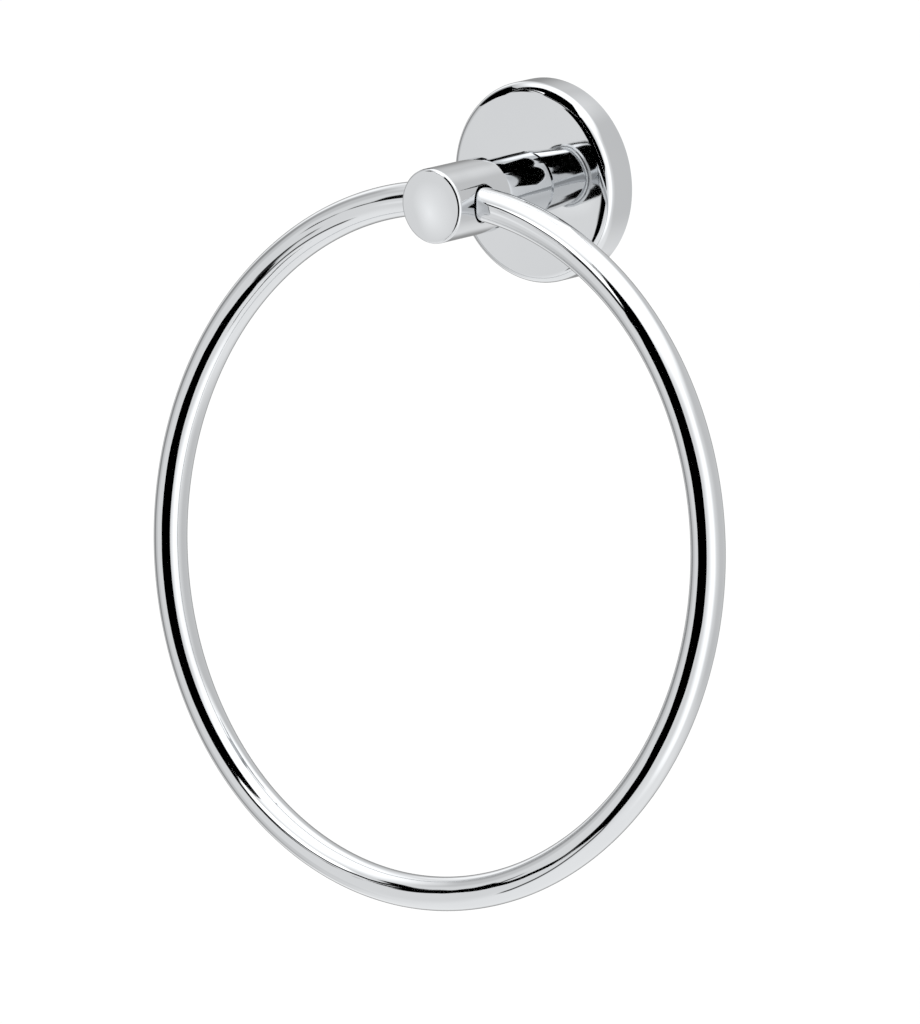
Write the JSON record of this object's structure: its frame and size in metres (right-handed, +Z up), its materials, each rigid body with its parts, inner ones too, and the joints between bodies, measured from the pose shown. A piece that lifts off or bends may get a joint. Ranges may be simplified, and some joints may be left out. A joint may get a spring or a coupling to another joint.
{
  "type": "towel ring",
  "caption": "Chromed towel ring: a round rod ring hangs loose in the crowned head of a short post on a round wall flange, and swings to hold a hand towel.",
  "frame": {"origin": "middle of the two wall screw holes, on the wall plane at the centre of the flange", "axes": "+Y into the wall, so the post stands out along -Y; +Z up; X along the line that the ring swings about"},
  "size_m": [0.18, 0.0661, 0.199],
  "materials": {
    "chrome_plate": "polished chrome plate",
    "zinc_plate": "dull zinc plated steel",
    "screw_steel": "plain steel"
  },
  "bodies": {
    "wall_mount": {"wall_bracket": "zinc_plate", "wall_flange": "chrome_plate", "grub_screw": "screw_steel", "spring_washer": "screw_steel", "post_screw": "screw_steel", "post": "chrome_plate"},
    "ring": {"ring": "chrome_plate"}
  },
  "joints": [
    {"name": "ring_swing", "type": "hinge", "parent": "wall_mount", "child": "ring", "pos_m": [0, -0.0374, 0], "axis": [-1, 0, 0], "range_deg": [-19, 182]}
  ]
}
